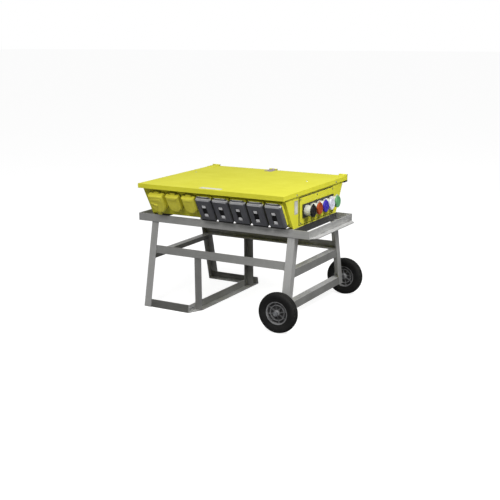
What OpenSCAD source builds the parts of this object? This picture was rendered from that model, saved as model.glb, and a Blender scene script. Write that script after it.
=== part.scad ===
// Portable power distribution box on a two-wheeled angle-section cart.
// Millimetres, +Z up, X along the length, -Y is the outlet side.
// Origin: middle of the footprint, on the ground.

/* [Cart frame] */
// length of the tray over its end rails
frame_len = 1268; // [1050:1:1500]
// depth of the tray over its side rails
frame_depth = 628; // [540:1:760]
// height of the tray's top edge above the ground
frame_height = 606; // [520:1:720]
// width of each leg of the angle section
angle_size = 50; // [40:1:60]
// thickness of the angle section
angle_thick = 5; // [4:0.5:8]
// how far each foot stands outside the tray's side
foot_spread = 111; // [70:1:140]

/* [Wheels] */
// diameter over the tyre
wheel_dia = 254; // [205:1:305]
// width of the tyre
tyre_w = 62; // [45:1:75]
// how far each tyre stands outside the line of the feet
wheel_gap = 27; // [20:1:60]
// diameter of the fixed axle
axle_dia = 16; // [12:1:20]

/* [Box] */
// height from the tray's top edge to the lip of the lid
box_h = 196; // [160:1:236]
// how much wider the box is than the tray at its top, each side
box_flare = 98; // [80:1:118]
// depth of the lid's folded edge
lid_edge = 29; // [22:1:36]
// thickness of the folded sheet
sheet = 2; // [1.5:0.5:3]

/* [Outlet covers] */
// height of the grey covers, up the sloping wall
grey_h = 170; // [145:1:190]
// how far the grey covers stand out from the wall
grey_d = 48; // [40:1:56]
// half the width of the yellow flip lids
dome_r = 50; // [44:1:54]
// radius of the face of a locking outlet
insert_r = 31; // [26:1:34]

/* [Inlets] */
// spacing of the five single-pole inlets
inlet_pitch = 88; // [80:1:90]
// outside diameter of an inlet sleeve
inlet_dia = 66; // [56:1:70]
// how far an inlet sleeve stands out of its flange
inlet_reach = 43; // [36:1:54]

/* [Hidden] */
$fn = 64;
a = angle_size;
t = angle_thick;
hl = frame_len/2;
hd = frame_depth/2;
rail_z = frame_height - a;
foot_y = hd + foot_spread;
leg_top_y = hd - 9;
leg_lean = (foot_y - leg_top_y)/rail_z;
tn = t*sqrt(1 + leg_lean*leg_lean);
leg_x = hl - 101;
mid_z = rail_z*0.635;
wheel_r = wheel_dia/2;
axle_r = axle_dia/2;
axle_x = leg_x - 20;
beam_z = wheel_r - 28;
beam_top = beam_z + a + 1;
hub_half = tyre_w/2 - 1;
wheel_y = foot_y + wheel_gap + tyre_w/2;
rim_r = wheel_r*0.575;
foot_x = -leg_x + frame_len*0.272;
inner_y = foot_y - leg_lean*mid_z - tn - 6;

box_hl = hl - 113;
end_t = 3;
shell_hl = box_hl - end_t;
lip_z = frame_height + box_h;
lid_top = lip_z + lid_edge;
box_top_y = hd + box_flare;
box_low_y = hd - 10.5;
wall_tan = (box_top_y - box_low_y)/box_h;
lean = atan(wall_tan);
wt = sheet/cos(lean);
floor_z = frame_height + 12;
rim_z = lid_top - sheet - 11;
lid_hl = box_hl + 12;
lid_hd = box_top_y + 37;
rim_y = box_top_y + (rim_z - lip_z)*wall_tan;
hinge_y = lid_hd + 6;
hinge_z = lid_top + 5;
hinge_x = [-(lid_hl - 31), -lid_hl*0.06, lid_hl - 31];

pitch = (box_hl*2 - 50)/8;
grey_w = pitch - 12;
grey_x = [for (i = [0:4]) box_hl - 18 - grey_w/2 - (4 - i)*pitch];
yellow_x = [for (k = [2.96, 1.952, 0.968]) grey_x[0] - pitch*k];
dome_k = min(1, (pitch - 16)/(dome_r*2));
dr = dome_r*dome_k;
grey_top = -14;
grey_split = 22;
grey_pin = [grey_top - 2, grey_split + 5];
dome_rr = [dr*1.12, dr, dr*0.98];
dome_y = [for (r = dome_rr) -(r + 56)];
dome_d = [46, 40, 40];
dome_top = -28;
dome_pin = [dome_top + 5.2, 12];

panel_t = 3;
panel_x = box_hl + panel_t + 3;
inlet_y = [for (i = [0:4]) 21 + (i - 2)*inlet_pitch];
inlet_z = frame_height + box_h*0.48;
panel_hy = inlet_pitch*2.7;
panel_cy = inlet_y[2] - 13;
panel_z0 = frame_height + 14;
panel_z1 = lip_z - 16;
flange_t = 8;
sleeve_r = inlet_dia/2;
sleeve_x0 = panel_x + flange_t;
sleeve_x1 = sleeve_x0 + inlet_reach;
cap_r = sleeve_r + 4;
cap_pin = [sleeve_x1 + 1, cap_r + 5];

frame_col = [0.66, 0.67, 0.66];
yellow_col = [0.86, 0.87, 0.17];
grey_col = [0.3, 0.31, 0.33];
black_col = [0.07, 0.07, 0.08];
steel_col = [0.7, 0.7, 0.72];

// outside face of a leg at height z
function leg_y(z) = foot_y - leg_lean*z;

// outside face of the box wall at height z
function wall_y(z) = box_low_y + (z - frame_height)*wall_tan;

// a profile drawn in Y-Z, drawn out along X from x0 to x1
module yz(x0, x1, pts) {
    translate([x0, 0, 0])
        rotate([90, 0, 90])
            linear_extrude(height = x1 - x0)
                polygon(pts);
}

// a round bar along X
module xrod(x0, x1, r) {
    translate([x0, 0, 0])
        rotate([0, 90, 0])
            cylinder(r = r, h = x1 - x0);
}

// a round bar along Y
module yrod(y0, y1, r) {
    translate([0, y1, 0])
        rotate([90, 0, 0])
            cylinder(r = r, h = y1 - y0);
}

// a block given by its two corners
module box(p, q) {
    translate(p)
        cube(q - p);
}

// a plate with rounded corners, in X-Y, centred, from z0 to z1
module pad(w, h, r, z0, z1) {
    translate([0, 0, z0])
        linear_extrude(height = z1 - z0)
            offset(r = r, $fn = 24)
                square([w - 2*r, h - 2*r], center = true);
}

// places things on the sloping front wall: y runs up the wall, z out of it
module on_front(x) {
    translate([x, -wall_y(lip_z), lip_z])
        rotate([90 + lean, 0, 0])
            children();
}

// ---- tray ----

module side_rail() {
    yz(-hl, hl, [[-hd, rail_z], [-hd + t, rail_z], [-hd + t, frame_height],
        [-hd, frame_height]]);
    yz(-hl + t, hl - t, [[-hd + t - 1, rail_z], [-hd + a, rail_z],
        [-hd + a, rail_z + t], [-hd + t - 1, rail_z + t]]);
}

module end_rail() {
    lip = a*0.75;
    box([hl - t, -hd + t, rail_z], [hl, hd - t, frame_height]);
    translate([0, 0, rail_z])
        linear_extrude(height = t)
            polygon([[hl - t, -hd + t], [hl, -hd + t], [hl + lip, -hd + a],
                [hl + lip, hd - a], [hl, hd - t], [hl - t, hd - t]]);
}

module tray_front_rail() {
    color(frame_col) side_rail();
}

module tray_back_rail() {
    color(frame_col) mirror([0, 1, 0]) side_rail();
}

module tray_left_rail() {
    color(frame_col) mirror([1, 0, 0]) end_rail();
}

module tray_right_rail() {
    color(frame_col) end_rail();
}

module bearer() {
    box([box_hl - 2, -hd + t, rail_z + t], [box_hl - 2 + t, hd - t, frame_height]);
    box([box_hl - 2 + t - a, -hd + t, frame_height - t],
        [box_hl - 2 + t, hd - t, frame_height]);
}

module tray_bearers() {
    color(grey_col) {
        bearer();
        mirror([1, 0, 0]) bearer();
    }
}

// ---- legs and rails ----

module leg(z0) {
    yz(leg_x - a, leg_x, [[leg_y(z0), z0], [leg_y(rail_z), rail_z],
        [leg_y(rail_z) - tn, rail_z], [leg_y(z0) - tn, z0]]);
    yz(leg_x - t, leg_x, [[leg_y(z0), z0], [leg_y(rail_z), rail_z],
        [leg_y(rail_z) - a, rail_z], [leg_y(z0) - a, z0]]);
}

module wheel_leg() {
    difference() {
        leg(beam_z);
        translate([axle_x, 0, wheel_r])
            yrod(0, foot_y + 20, axle_r + 0.2);
    }
}

module leg_front_left() {
    color(frame_col) mirror([1, 0, 0]) mirror([0, 1, 0]) leg(0);
}

module leg_back_left() {
    color(frame_col) mirror([1, 0, 0]) leg(0);
}

module leg_front_right() {
    color(frame_col) mirror([0, 1, 0]) wheel_leg();
}

module leg_back_right() {
    color(frame_col) wheel_leg();
}

// an angle laid along X behind the sloping legs, its foot turned inward
module sloped_rail(x0, x1, z0) {
    p = leg_y(z0) - tn;
    q = leg_y(z0 + t) - tn;
    s = leg_y(z0 + a) - tn;
    yz(x0, x1, [[p, z0], [s, z0 + a], [s - tn, z0 + a], [q - tn, z0 + t],
        [p - a, z0 + t], [p - a, z0]]);
}

module mid_side_rails() {
    color(frame_col) {
        sloped_rail(-leg_x + t, leg_x - t, mid_z);
        mirror([0, 1, 0]) sloped_rail(-leg_x + t, leg_x - t, mid_z);
    }
}

// a bar across the cart between the legs, its ends cut to their slope
module cross_plate(x0, x1, z0, z1) {
    yz(x0, x1, [[-leg_y(z0) + tn, z0], [leg_y(z0) - tn, z0],
        [leg_y(z1) - tn, z1], [-leg_y(z1) + tn, z1]]);
}

module cross_rail(z1) {
    cross_plate(leg_x - 2*t, leg_x - t, z1 - a, z1);
    cross_plate(leg_x - t - a, leg_x - t, z1 - t, z1);
}

module mid_cross_rails() {
    color(frame_col) {
        cross_rail(mid_z);
        mirror([1, 0, 0]) cross_rail(mid_z);
    }
}

module foot_side_rails() {
    color(frame_col) {
        sloped_rail(-leg_x + t, foot_x, 0);
        mirror([0, 1, 0]) sloped_rail(-leg_x + t, foot_x, 0);
    }
}

bolt_y = [foot_y - 28, foot_y - 56];

module foot_cross_rail() {
    e = foot_y - tn - 1;
    color(frame_col)
        difference() {
            union() {
                cross_plate(foot_x, foot_x + t, 0, a);
                linear_extrude(height = t)
                    polygon([[foot_x + t - 1, -e], [foot_x + t, -e],
                        [foot_x + a, -e + 2*a], [foot_x + a, e], [foot_x + t - 1, e]]);
                yz(foot_x + t - 1, foot_x + a, [[foot_y - 2*tn, 0], [foot_y - tn, 0],
                    [leg_y(a) - tn, a], [leg_y(a) - 2*tn, a]]);
            }
            for (s = [-1, 1], y = bolt_y)
                translate([0, s*y, a*0.52])
                    xrod(foot_x - 20, foot_x + 20, 4.1);
        }
}

module inner_leg() {
    box([foot_x + t, inner_y - t, t], [foot_x + t + a, inner_y, mid_z]);
    box([foot_x + t, inner_y - a*0.86, t], [foot_x + 2*t, inner_y, mid_z]);
}

module inner_legs() {
    color(frame_col) {
        inner_leg();
        mirror([0, 1, 0]) inner_leg();
    }
}

module foot_bolts() {
    color(steel_col)
        for (s = [-1, 1], y = bolt_y)
            translate([0, s*y, a*0.52]) {
                xrod(foot_x - 9, foot_x + t + 2, 4);
                translate([foot_x + t, 0, 0])
                    rotate([0, 90, 0]) cylinder(r = 7.5, h = 5, $fn = 6);
                translate([foot_x - 6, 0, 0])
                    rotate([0, 90, 0]) cylinder(r = 7.5, h = 6, $fn = 6);
            }
}

// ---- axle and wheels ----

module axle_beam() {
    color(frame_col) {
        cross_plate(leg_x - 2*t, leg_x - t, beam_z, beam_top);
        cross_plate(leg_x - t - a, leg_x - t, beam_top - t, beam_top);
    }
}

module axle_blocks() {
    color(frame_col)
        for (s = [-1, 1])
            difference() {
                box([axle_x - axle_r - 9, s*foot_y*0.6 - 22, wheel_r - axle_r - 7],
                    [leg_x - 2*t, s*foot_y*0.6 + 22, beam_top - t]);
                translate([axle_x, 0, wheel_r])
                    yrod(s*foot_y*0.6 - 30, s*foot_y*0.6 + 30, axle_r + 0.03);
            }
}

module axle() {
    color(steel_col)
        translate([axle_x, 0, wheel_r])
            yrod(-wheel_y - hub_half - 14, wheel_y + hub_half + 14, axle_r);
}

module spacer() {
    y0 = leg_y(wheel_r - axle_r - 4) + 0.2;
    translate([axle_x, 0, wheel_r])
        difference() {
            yrod(y0, wheel_y - hub_half - 0.3, axle_r + 4);
            yrod(y0 - 1, wheel_y, axle_r + 0.03);
        }
}

module axle_spacers() {
    color(steel_col) {
        spacer();
        mirror([0, 1, 0]) spacer();
    }
}

module collar() {
    translate([axle_x, 0, wheel_r])
        difference() {
            yrod(wheel_y + hub_half + 0.3, wheel_y + hub_half + 10, axle_r + 6);
            yrod(wheel_y, wheel_y + hub_half + 11, axle_r + 0.03);
        }
}

module axle_collars() {
    color(steel_col) {
        collar();
        mirror([0, 1, 0]) collar();
    }
}

// things round the wheel's own axis, put at the wheel on side s
module at_wheel(s) {
    translate([axle_x, s*wheel_y, wheel_r])
        rotate([90, 0, 0])
            children();
}

module tyre() {
    w = tyre_w/2;
    rotate_extrude($fn = 96)
        polygon([[rim_r, -w*0.74], [rim_r + 8, -w*0.8], [wheel_r*0.8, -w],
            [wheel_r*0.9, -w*0.96], [wheel_r*0.965, -w*0.8], [wheel_r*0.99, -w*0.5],
            [wheel_r, -w*0.2], [wheel_r, w*0.2], [wheel_r*0.99, w*0.5],
            [wheel_r*0.965, w*0.8], [wheel_r*0.9, w*0.96], [wheel_r*0.8, w],
            [rim_r + 8, w*0.8], [rim_r, w*0.74]]);
}

module rim() {
    w = tyre_w/2;
    bore = axle_r + 0.05;
    rotate_extrude()
        polygon([[rim_r - 7, -w*0.62], [rim_r - 4, -w*0.74], [rim_r, -w*0.74],
            [rim_r, w*0.74], [rim_r - 4, w*0.74], [rim_r - 7, w*0.62]]);
    rotate_extrude()
        polygon([[bore, -hub_half], [axle_r + 9, -hub_half], [axle_r + 12, -w*0.6],
            [axle_r + 12, w*0.6], [axle_r + 9, hub_half], [bore, hub_half]]);
    rotate_extrude()
        polygon([[axle_r + 11, -3], [rim_r - 6, -3], [rim_r - 6, 3],
            [axle_r + 11, 3]]);
    rotate_extrude()
        polygon([[rim_r*0.62, -w*0.45], [rim_r*0.68, -w*0.45],
            [rim_r*0.68, w*0.45], [rim_r*0.62, w*0.45]]);
    for (i = [0:7])
        rotate([0, 0, i*45 + 12])
            box([axle_r + 10, -3.5, -w*0.55], [rim_r - 6, 3.5, w*0.55]);
}

module wheel_front_tyre() {
    color(black_col) at_wheel(-1) tyre();
}

module wheel_back_tyre() {
    color(black_col) at_wheel(1) tyre();
}

module wheel_front_rim() {
    color(grey_col) at_wheel(-1) rim();
}

module wheel_back_rim() {
    color(grey_col) at_wheel(1) rim();
}

// ---- box ----

module box_shell() {
    half = [[wall_y(floor_z), floor_z], [rim_y, rim_z], [rim_y - 18, rim_z],
        [rim_y - 18, rim_z - sheet], [wall_y(rim_z - sheet) - wt, rim_z - sheet],
        [wall_y(floor_z + sheet) - wt, floor_z + sheet]];
    far = [for (i = [5:-1:0]) [-half[i][0], half[i][1]]];
    color(yellow_col)
        difference() {
            yz(-shell_hl, shell_hl, concat(half, far));
            for (i = [0:2])
                on_front(yellow_x[i])
                    translate([0, dome_y[i], -20]) cylinder(r = insert_r + 1, h = 30);
            for (x = grey_x)
                on_front(x)
                    box([-34, grey_top - grey_h/2 - 53, -20],
                        [34, grey_top - grey_h/2 + 53, 10]);
        }
}

module end_plate() {
    yz(shell_hl, box_hl, [[-wall_y(frame_height), frame_height],
        [wall_y(frame_height), frame_height], [rim_y, rim_z], [-rim_y, rim_z]]);
    box([shell_hl - 16, -rim_y + 19, rim_z - sheet], [shell_hl + 1, rim_y - 19, rim_z]);
}

module end_plate_left() {
    color(yellow_col) mirror([1, 0, 0]) end_plate();
}

module end_plate_right() {
    color(yellow_col)
        difference() {
            end_plate();
            for (y = inlet_y)
                translate([0, y, inlet_z]) xrod(shell_hl - 5, box_hl + 5, sleeve_r - 6);
        }
}

module bus_supports() {
    z0 = floor_z + sheet;
    color([0.62, 0.12, 0.08])
        for (x = [-box_hl*0.6, 0, box_hl*0.6])
            difference() {
                box([x - 12, -150, z0], [x + 12, 150, z0 + 46]);
                for (i = [-2:2])
                    box([x - 14, i*60 - 3.2, z0 + 22], [x + 14, i*60 + 3.2, z0 + 50]);
            }
}

module bus_bars() {
    z0 = floor_z + sheet + 22;
    color([0.72, 0.42, 0.25])
        for (i = [-2:2])
            difference() {
                box([-box_hl*0.72, i*60 - 3.2, z0], [box_hl*0.72, i*60 + 3.2, z0 + 40]);
                for (k = [-5, -4, -2, -1, 1, 2, 4, 5])
                    translate([k*box_hl*0.12, i*60, z0 + 31]) yrod(-5, 5, 4);
            }
}

module lid_gasket() {
    z1 = lid_top - sheet - 0.3;
    color(black_col)
        difference() {
            box([-shell_hl + 2, -rim_y + 4, rim_z], [shell_hl - 2, rim_y - 4, z1]);
            box([-shell_hl + 14, -rim_y + 16, rim_z - 1],
                [shell_hl - 14, rim_y - 16, z1 + 1]);
        }
}

module lid() {
    color(yellow_col)
        difference() {
            box([-lid_hl, -lid_hd, lip_z], [lid_hl, lid_hd, lid_top]);
            box([-lid_hl + sheet, -lid_hd + sheet, lip_z - 1],
                [lid_hl - sheet, lid_hd - sheet, lid_top - sheet]);
        }
}

module hinge_leaves() {
    color(grey_col)
        for (x = hinge_x)
            translate([x, hinge_y, hinge_z])
                difference() {
                    union() {
                        xrod(-9.7, 9.7, 4.5);
                        box([-9.7, -10, -5], [9.7, 0, -0.5]);
                        box([-29, -84, -5], [29, -7, -2.5]);
                    }
                    xrod(-12, 12, 2.55);
                }
}

module hinge_brackets() {
    z0 = lip_z - 12;
    color(grey_col)
        for (x = hinge_x) {
            difference() {
                union() {
                    yz(x - 29, x + 29, [[wall_y(z0), z0], [hinge_y + 5, z0],
                        [hinge_y + 5, lid_top - 4], [hinge_y + 2, lid_top - 4],
                        [hinge_y + 2, z0 + 3], [wall_y(z0 + 3), z0 + 3]]);
                    for (s = [-19.5, 19.5]) {
                        box([x + s - 9.5, hinge_y + 2, lid_top - 5],
                            [x + s + 9.5, hinge_y + 5, hinge_z]);
                        translate([x + s, hinge_y, hinge_z]) xrod(-9.5, 9.5, 4.5);
                    }
                }
                translate([x, hinge_y, hinge_z]) xrod(-35, 35, 2.53);
            }
        }
}

module lid_rivets() {
    color(yellow_col) {
        for (x = [-lid_hl*0.857, lid_hl*0.747])
            translate([x, lid_hd*0.265, lid_top])
                rotate_extrude($fn = 32)
                    polygon([[0, 0], [6, 0], [5.4, 1.4], [3.4, 2.4], [0, 2.7]]);
        for (s = [-1, 1], y = [-lid_hd*0.62, lid_hd*0.62])
            translate([s*lid_hl, y, lip_z + 12])
                rotate([0, s*90, 0])
                    rotate_extrude($fn = 32)
                        polygon([[0, 0], [6, 0], [5.4, 1.4], [3.4, 2.4], [0, 2.7]]);
    }
}

module lid_label() {
    color([0.9, 0.9, 0.86])
        translate([-lid_hl*0.01, -lid_hd*0.895, 0])
            pad(155, 40, 3, lid_top, lid_top + 0.8);
}

module end_label() {
    y0 = panel_cy - panel_hy - 38;
    color([0.8, 0.8, 0.78])
        translate([box_hl, y0, inlet_z + 35])
            rotate([90, 0, 90]) pad(44, 84, 2, 0, 0.8);
}

// ---- inlets ----

module panel_gasket() {
    color(black_col)
        difference() {
            box([box_hl, panel_cy - panel_hy - 4, panel_z0 - 4],
                [panel_x - panel_t, panel_cy + panel_hy + 4, panel_z1 + 4]);
            for (y = inlet_y)
                translate([0, y, inlet_z]) xrod(box_hl - 5, panel_x + 5, sleeve_r - 6);
        }
}

screw_spots = [for (y = [-1, 0, 1], z = [panel_z0 + 10, panel_z1 - 10])
    [panel_cy + y*(panel_hy - 10), z]];

module inlet_panel() {
    color(yellow_col)
        difference() {
            box([panel_x - panel_t, panel_cy - panel_hy, panel_z0],
                [panel_x, panel_cy + panel_hy, panel_z1]);
            for (y = inlet_y)
                translate([0, y, inlet_z]) xrod(box_hl - 5, panel_x + 5, sleeve_r - 6);
        }
}

module panel_screws() {
    color(steel_col)
        for (p = screw_spots)
            translate([panel_x, p[0], p[1]])
                rotate([0, 90, 0])
                    difference() {
                        cylinder(r = 5, h = 2.6, $fn = 32);
                        translate([0, 0, 1.4]) cylinder(r = 2.4, h = 3, $fn = 6);
                    }
}

module inlet_flanges() {
    color(black_col)
        for (y = inlet_y)
            translate([panel_x, y, inlet_z])
                difference() {
                    rotate([90, 0, 90])
                        pad(inlet_pitch - 5, inlet_pitch - 5, 6, 0, flange_t);
                    xrod(-1, flange_t + 1, sleeve_r - 6);
                }
}

// a ribbed sleeve with a neck through the panel and two hinge ears on top
module inlet_sleeve() {
    g = sleeve_x1;
    difference() {
        union() {
            xrod(box_hl - 34, sleeve_x0 + 1, sleeve_r - 6.5);
            xrod(sleeve_x0, g, sleeve_r);
            for (x = [0.25, 0.5, 0.75])
                translate([sleeve_x0 + x*inlet_reach, 0, 0]) xrod(-2, 2, sleeve_r + 1);
            for (s = [-9, 9])
                difference() {
                    union() {
                        box([g - 9, s - 2.8, sleeve_r - 2], [g, s + 2.8, cap_pin[1]]);
                        translate([cap_pin[0], s, cap_pin[1]]) yrod(-2.8, 2.8, 4);
                        box([g - 6, s - 2.8, cap_pin[1]], [g + 1, s + 2.8,
                            cap_pin[1] + 4]);
                    }
                    translate([cap_pin[0], s, cap_pin[1]]) yrod(-5, 5, 1.53);
                }
        }
        xrod(sleeve_x0 + 6, g + 1, sleeve_r - 6);
        xrod(box_hl - 35, box_hl - 8, sleeve_r - 10);
    }
}

module inlet_sleeves() {
    color([0.62, 0.63, 0.62])
        for (y = inlet_y)
            translate([0, y, inlet_z]) inlet_sleeve();
}

module inlet_contacts() {
    color([0.75, 0.6, 0.25])
        for (y = inlet_y)
            translate([0, y, inlet_z]) {
                xrod(sleeve_x0 + 6, sleeve_x1 - 10, 8);
                xrod(sleeve_x0 + 6, sleeve_x0 + 10, 13);
            }
}

// a snap cap that hangs on the sleeve's ears
module inlet_cap(i) {
    x0 = sleeve_x1 + 0.3;
    translate([0, inlet_y[i], inlet_z]) {
        difference() {
            union() {
                xrod(x0, x0 + 9, cap_r);
                xrod(x0 + 8, x0 + 11, cap_r - 3);
                box([x0, -5.7, cap_r - 5], [x0 + 9, 5.7, cap_pin[1]]);
                translate([cap_pin[0], 0, cap_pin[1]]) yrod(-5.7, 5.7, 4);
            }
            xrod(x0 + 9, x0 + 12, cap_r - 9);
            translate([cap_pin[0], 0, cap_pin[1]]) yrod(-7, 7, 1.55);
        }
        translate([x0 + 8, 0, 0]) xrod(0, 3, 7);
    }
}

module cap_black() {
    color(black_col) inlet_cap(0);
}

module cap_red() {
    color([0.75, 0.15, 0.06]) inlet_cap(1);
}

module cap_blue() {
    color([0.15, 0.12, 0.6]) inlet_cap(2);
}

module cap_white() {
    color([0.88, 0.88, 0.9]) inlet_cap(3);
}

module cap_green() {
    color([0.15, 0.5, 0.25]) inlet_cap(4);
}

// ---- yellow covers over the locking outlets ----

// a cover's outline: square at the top, round at the bottom
module shield(i, r) {
    hull() {
        translate([0, dome_y[i]]) circle(r = r);
        for (s = [-1, 1])
            translate([s*(r - 6), dome_top - dome_rr[i] + r - 6]) circle(r = 6, $fn = 24);
    }
}

module yellow_bases() {
    color(yellow_col)
        for (i = [0:2])
            on_front(yellow_x[i])
                difference() {
                    union() {
                        linear_extrude(height = 6) shield(i, dome_rr[i] + 2);
                        for (s = [-24, 24]) {
                            translate([s, dome_pin[0], dome_pin[1]]) xrod(-5, 5, 4.5);
                            box([s - 5, dome_pin[0] - 4.5, 0],
                                [s + 5, dome_pin[0] + 4.5, dome_pin[1]]);
                        }
                        box([-29, dome_top - 8, 0], [29, dome_pin[0] + 4.5, 6]);
                    }
                    translate([0, dome_y[i], -1]) cylinder(r = insert_r + 0.3, h = 20);
                    translate([0, dome_pin[0], dome_pin[1]]) xrod(-40, 40, 2.03);
                }
}

module locking_outlets() {
    color(black_col)
        for (i = [0:2])
            on_front(yellow_x[i])
                translate([0, dome_y[i], 0])
                    difference() {
                        translate([0, 0, -34]) cylinder(r = insert_r, h = 56);
                        for (k = [0:3])
                            rotate([0, 0, k*90 + 20])
                                translate([0, 0, 8])
                                    rotate_extrude(angle = 42)
                                        translate([insert_r*0.55, 0]) square([3, 20]);
                        translate([0, 0, 20])
                            difference() {
                                cylinder(r = insert_r - 2, h = 5);
                                translate([0, 0, -1]) cylinder(r = insert_r - 5, h = 7);
                            }
                    }
}

// a chamfered flip lid, hollow behind, with a finger lip below and a hinge barrel above
module yellow_lid(i) {
    r = dome_rr[i];
    d = dome_d[i];
    low = dome_y[i] - r;
    on_front(yellow_x[i])
        difference() {
            union() {
                hull() {
                    translate([0, 0, 6.3]) linear_extrude(height = d - 15.3) shield(i, r);
                    translate([0, 0, 6.3]) linear_extrude(height = d - 6.3) shield(i, r - 9);
                }
                box([-16, low - 8, 12], [16, low + 4, 19]);
                translate([0, dome_pin[0], dome_pin[1]]) xrod(-18.7, 18.7, 4.5);
                box([-18.7, dome_top - 3, 8], [18.7, dome_pin[0], 16.4]);
            }
            translate([0, 0, 5]) linear_extrude(height = d - 15) shield(i, r - 4);
            translate([0, 0, 5]) linear_extrude(height = d - 9) shield(i, r - 13);
            translate([0, dome_pin[0], dome_pin[1]]) xrod(-20, 20, 2.05);
        }
}

module yellow_lid_1() {
    color(yellow_col) yellow_lid(0);
}

module yellow_lid_2() {
    color(yellow_col) yellow_lid(1);
}

module yellow_lid_3() {
    color(yellow_col) yellow_lid(2);
}

// ---- grey covers over the duplex outlets ----

module grey_bases() {
    c = grey_top - grey_h/2;
    color(yellow_col)
        for (x = grey_x)
            on_front(x)
                difference() {
                    union() {
                        difference() {
                            translate([0, c, 0]) pad(grey_w, grey_h, 9, 0, grey_split);
                            translate([0, c - 6, 0])
                                pad(grey_w - 14, grey_h - 26, 6, 3, grey_split + 1);
                            translate([0, c, 0]) box([-33, -52, -1], [33, 52, 5]);
                        }
                        for (s = [-1, 1]) {
                            m = s*(grey_w/2 - 14);
                            translate([m, grey_pin[0], grey_pin[1]]) xrod(-6, 6, 4.5);
                            box([m - 6, grey_pin[0] - 4.5, grey_split - 4],
                                [m + 6, grey_pin[0] - 0, grey_pin[1]]);
                        }
                    }
                    translate([0, grey_pin[0], grey_pin[1]])
                        xrod(-grey_w, grey_w, 2.03);
                }
}

// the two slots and the earth hole of one outlet face
module outlet_slots() {
    box([-8, 1, 0], [-5.6, 10, 20]);
    box([5.6, 2, 0], [8, 9, 20]);
    translate([0, -7, 0]) cylinder(r = 2.6, h = 20, $fn = 24);
}

module duplex_outlets() {
    c = grey_top - grey_h/2;
    color([0.2, 0.2, 0.21])
        for (x = grey_x)
            on_front(x)
                translate([0, c, 0])
                    difference() {
                        union() {
                            box([-32.7, -51.7, -30], [32.7, 51.7, 8]);
                            for (s = [-24, 24])
                                translate([0, s, 0]) cylinder(r = 19, h = 12);
                            box([-9, -7, 7], [9, 7, 11]);
                        }
                        for (s = [-24, 24])
                            translate([0, s, 2]) outlet_slots();
                        box([-7, -0.5, 10], [7, 0.5, 12]);
                    }
}

// a bevelled flip lid, hollow behind, with a shallow well for its latch
module grey_lid(i) {
    low = grey_top - grey_h;
    top = grey_pin[0] - 6;
    h = top - low;
    c = (top + low)/2;
    s0 = grey_split + 0.3;
    on_front(grey_x[i])
        difference() {
            union() {
                hull() {
                    translate([0, c, 0]) pad(grey_w, h, 9, s0, grey_d - 7);
                    translate([0, c, 0]) pad(grey_w - 14, h - 14, 6, s0, grey_d);
                }
                translate([0, grey_pin[0], grey_pin[1]])
                    xrod(-grey_w/2 + 20.5, grey_w/2 - 20.5, 4.5);
                box([-grey_w/2 + 20.5, top - 4, s0 + 0.5],
                    [grey_w/2 - 20.5, grey_pin[0], grey_pin[1] + 4]);
            }
            translate([0, c, 0]) pad(grey_w - 12, h - 12, 5, s0 - 1, grey_d - 14);
            translate([-2, c - 6, 0]) box([-17, -46, grey_d - 5], [17, 46, grey_d + 1]);
            translate([0, grey_pin[0], grey_pin[1]]) xrod(-grey_w, grey_w, 2.05);
        }
}

module grey_lid_1() {
    color(grey_col) grey_lid(0);
}

module grey_lid_2() {
    color(grey_col) grey_lid(1);
}

module grey_lid_3() {
    color(grey_col) grey_lid(2);
}

module grey_lid_4() {
    color(grey_col) grey_lid(3);
}

module grey_lid_5() {
    color(grey_col) grey_lid(4);
}

module hinge_pins() {
    color(steel_col) {
        for (x = hinge_x)
            translate([x, hinge_y, hinge_z]) {
                xrod(-30, 30, 2.5);
                xrod(29.2, 31, 4);
                xrod(-31, -29.2, 4);
            }
        for (x = yellow_x)
            on_front(x)
                translate([0, dome_pin[0], dome_pin[1]]) xrod(-29, 29, 2);
        for (x = grey_x)
            on_front(x)
                translate([0, grey_pin[0], grey_pin[1]])
                    xrod(-grey_w/2 + 8, grey_w/2 - 8, 2);
        for (y = inlet_y)
            translate([cap_pin[0], y, inlet_z + cap_pin[1]]) yrod(-11.8, 11.8, 1.5);
    }
}

tray_front_rail();
tray_back_rail();
tray_left_rail();
tray_right_rail();
tray_bearers();
leg_front_left();
leg_back_left();
leg_front_right();
leg_back_right();
mid_side_rails();
mid_cross_rails();
foot_side_rails();
foot_cross_rail();
inner_legs();
foot_bolts();
axle_beam();
axle_blocks();
axle();
axle_spacers();
axle_collars();
wheel_front_tyre();
wheel_front_rim();
wheel_back_tyre();
wheel_back_rim();
box_shell();
end_plate_left();
end_plate_right();
bus_supports();
bus_bars();
lid_gasket();
lid();
hinge_leaves();
hinge_brackets();
lid_rivets();
lid_label();
end_label();
panel_gasket();
inlet_panel();
panel_screws();
inlet_flanges();
inlet_sleeves();
inlet_contacts();
cap_black();
cap_red();
cap_blue();
cap_white();
cap_green();
yellow_bases();
locking_outlets();
yellow_lid_1();
yellow_lid_2();
yellow_lid_3();
hinge_pins();
grey_bases();
duplex_outlets();
grey_lid_1();
grey_lid_2();
grey_lid_3();
grey_lid_4();
grey_lid_5();
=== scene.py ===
import math

import bmesh
import bpy
from mathutils import Matrix, Vector


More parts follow.
